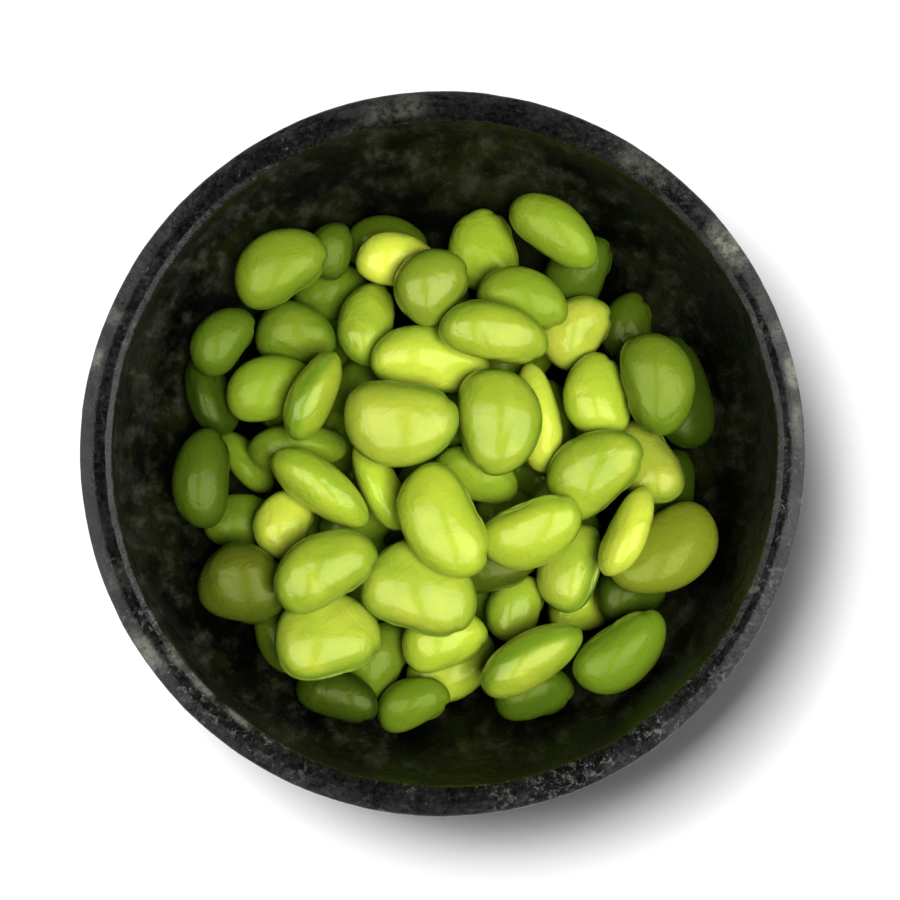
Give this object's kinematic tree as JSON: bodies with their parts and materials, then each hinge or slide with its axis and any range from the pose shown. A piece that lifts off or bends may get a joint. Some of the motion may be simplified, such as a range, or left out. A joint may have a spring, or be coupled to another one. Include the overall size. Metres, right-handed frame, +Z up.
{
  "type": "bowl of shelled edamame beans",
  "caption": "Small round dark stone bowl with a thick bevelled rim, heaped inside with loose shelled edamame beans, glossy green, for serving as a snack.",
  "frame": {"origin": "centre of the bowl's flat underside", "axes": "+Z up along the bowl's axis; the picture looks straight down -Z, with +X to its right and +Y to its top"},
  "size_m": [0.1018, 0.1018, 0.046],
  "materials": {
    "stone": "satin",
    "bean_deep": "gloss",
    "bean_deepleaf": "gloss",
    "bean_leaf": "gloss",
    "bean_olive": "gloss",
    "bean_lime": "gloss",
    "bean_pale": "gloss",
    "bean_yellow": "gloss"
  },
  "bodies": {
    "root": {"bowl": "stone", "buried_beans": "bean_deep", "bean_01": "bean_deepleaf", "bean_02": "bean_deep", "bean_03": "bean_deep", "bean_04": "bean_deep", "bean_05": "bean_leaf", "bean_06": "bean_deep", "bean_07": "bean_deep", "bean_08": "bean_deep", "bean_09": "bean_deepleaf", "bean_10": "bean_deep", "bean_11": "bean_deep", "bean_12": "bean_olive", "bean_13": "bean_leaf", "bean_14": "bean_lime", "bean_15": "bean_leaf", "bean_16": "bean_deepleaf", "bean_17": "bean_leaf", "bean_18": "bean_deep", "bean_19": "bean_deep", "bean_20": "bean_olive", "bean_21": "bean_leaf", "bean_22": "bean_leaf", "bean_23": "bean_lime", "bean_24": "bean_olive", "bean_25": "bean_lime", "bean_26": "bean_yellow", "bean_27": "bean_yellow", "bean_28": "bean_yellow", "bean_29": "bean_pale", "bean_30": "bean_yellow", "bean_31": "bean_deepleaf", "bean_32": "bean_lime", "bean_33": "bean_lime", "bean_34": "bean_yellow", "bean_35": "bean_deepleaf", "bean_36": "bean_leaf", "bean_37": "bean_leaf", "bean_38": "bean_leaf", "bean_39": "bean_leaf", "bean_40": "bean_lime", "bean_41": "bean_lime", "bean_42": "bean_leaf", "bean_43": "bean_lime", "bean_44": "bean_yellow", "bean_45": "bean_lime", "bean_46": "bean_lime", "bean_47": "bean_lime", "bean_48": "bean_pale", "bean_49": "bean_lime", "bean_50": "bean_lime", "bean_51": "bean_pale", "bean_52": "bean_lime", "bean_53": "bean_pale", "bean_54": "bean_lime", "bean_55": "bean_lime", "bean_56": "bean_lime", "bean_57": "bean_pale"}
  },
  "joints": []
}
